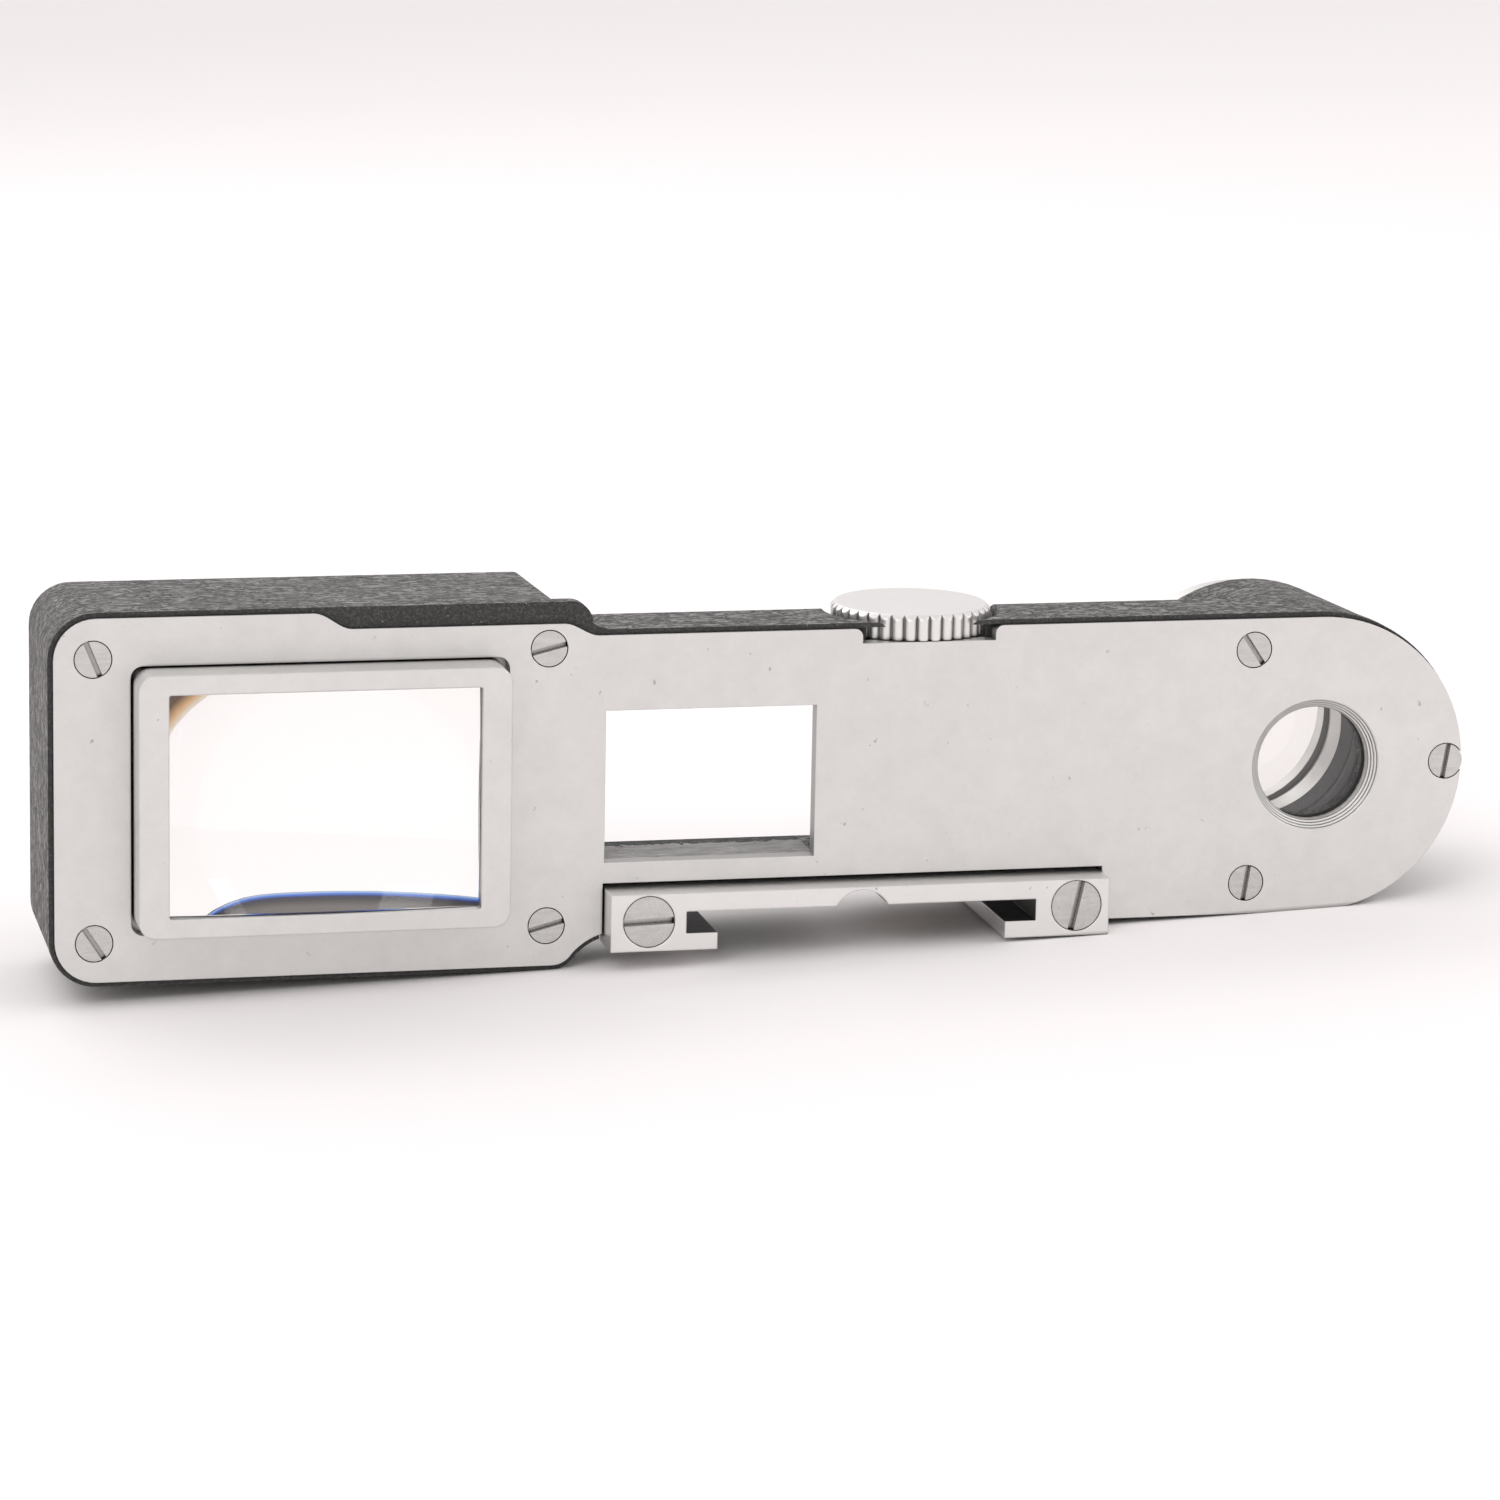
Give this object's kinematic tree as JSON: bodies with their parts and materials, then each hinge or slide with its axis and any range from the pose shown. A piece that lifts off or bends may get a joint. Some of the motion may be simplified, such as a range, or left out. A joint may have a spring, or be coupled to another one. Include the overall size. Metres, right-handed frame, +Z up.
{
  "type": "viewfinder attachment",
  "caption": "Viewfinder and rangefinder attachment for a 35 mm camera: cast body, chromed plate, finder head, open middle window, rangefinder barrel and clamping shoe.",
  "frame": {"origin": "centre of the bounding box in X and Y, at the height of the head's underside", "axes": "+X along the plate from the finder head to the rangefinder barrel, -Y out of the plated camera side, +Z up"},
  "size_m": [0.0977, 0.0232, 0.0251],
  "materials": {
    "black_wrinkle": "fine wrinkle enamel on a light-alloy casting",
    "satin_chrome": "satin",
    "bright_chrome": "fine turned or milled, satin",
    "screw_steel": "turned and polished",
    "spring_steel": "ground",
    "brass": "turned",
    "matt_black": "matt black, anti-reflection",
    "lens_glass": "polished"
  },
  "bodies": {
    "housing": {"body_casting": "black_wrinkle", "rear_plate": "satin_chrome", "plate_screws": "screw_steel", "rear_lens_frame": "satin_chrome", "rear_lens": "lens_glass", "finder_mask": "matt_black", "rear_lens_retainer": "matt_black", "finder_tube": "matt_black", "front_lens": "lens_glass", "front_lens_bezel": "satin_chrome", "window_glass": "lens_glass", "barrel_sleeve": "matt_black", "wedge_cell": "matt_black", "wedge_prism": "lens_glass", "ring_seal": "matt_black", "front_round_lens": "lens_glass", "front_ring": "satin_chrome", "shoe": "bright_chrome", "shoe_screws": "screw_steel", "wave_washer": "spring_steel", "spindle_bush": "brass"},
    "spindle": {"clamp_spindle": "spring_steel", "clamp_knob": "bright_chrome"},
    "plunger": {"clamp_plunger": "brass"}
  },
  "joints": [
    {"name": "knob_turn", "type": "hinge", "parent": "housing", "child": "spindle", "pos_m": [0.0104, -0.00345, 0.01535], "axis": [0, 0, 1], "range_deg": [0, 576]},
    {"name": "plunger_press", "type": "slide", "parent": "housing", "child": "plunger", "axis": [0, 0, -1], "range_m": [0, 0.0008]}
  ],
  "couplings": [
    {"joint": "knob_turn", "follows": "plunger_press", "rad_per_m": 12566}
  ]
}
